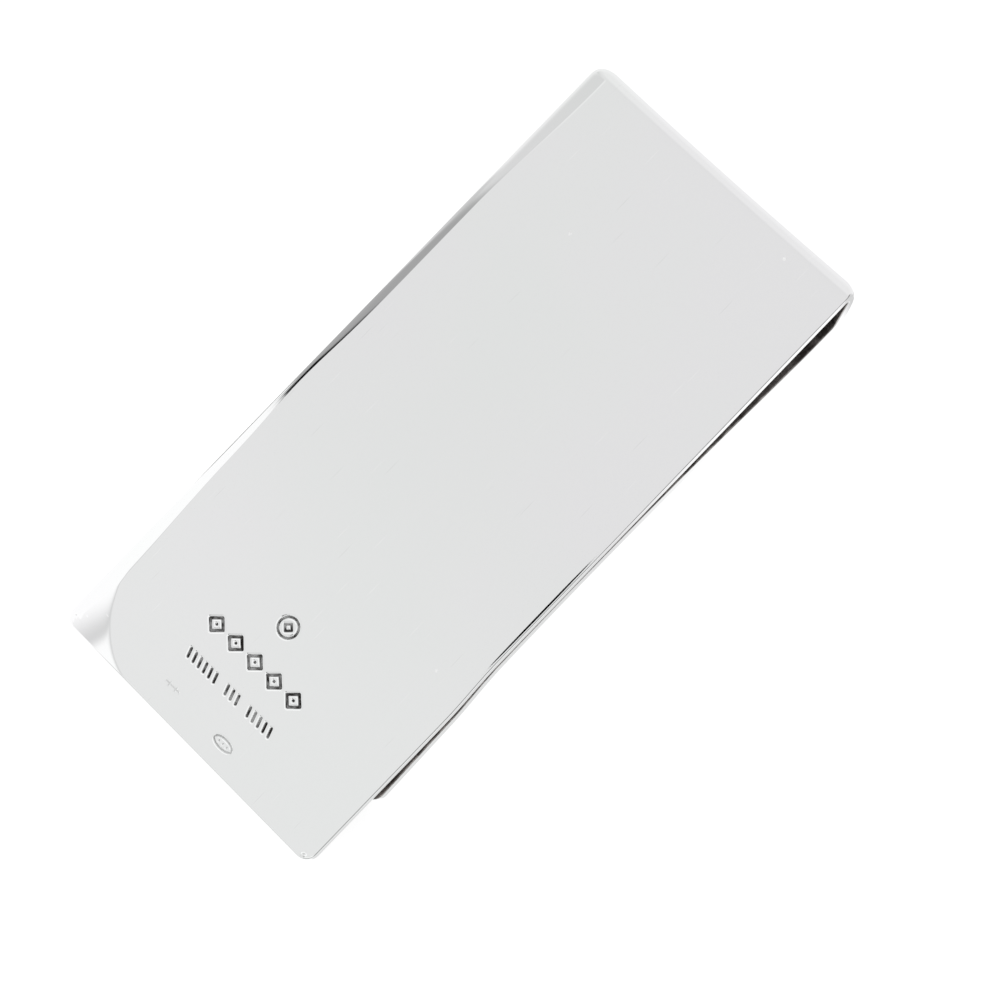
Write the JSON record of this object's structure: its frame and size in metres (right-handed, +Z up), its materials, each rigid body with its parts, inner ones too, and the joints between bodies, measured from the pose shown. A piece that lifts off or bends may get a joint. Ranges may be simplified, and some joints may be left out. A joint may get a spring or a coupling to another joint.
{
  "type": "money clip",
  "caption": "Plain folded-strip money clip: a long flat back plate and a shorter sprung front arm with a flared lip, joined by a tight fold that flexes open.",
  "frame": {"origin": "bottom centre of the whole clip's box, on the surface that the clip lies on", "axes": "+X towards the fold, Y across the strip's width, +Z up through the back plate, which slopes 1.5 degrees down towards its open end"},
  "size_m": [0.0526, 0.0236, 0.005],
  "materials": {
    "polished_silver": "mirror-polished sterling silver with fine handling marks"
  },
  "bodies": {
    "front_arm": {"front_arm": "polished_silver", "fold_bend": "polished_silver"},
    "back_plate": {"back_plate": "polished_silver"}
  },
  "joints": [
    {"name": "fold_flex", "type": "hinge", "parent": "front_arm", "child": "back_plate", "pos_m": [0.02485, 0, 0.00364], "axis": [0, 1, 0], "range_deg": [0, 7], "stiffness_Nm_per_rad": 5.5, "deforming": ["fold_bend"]}
  ]
}
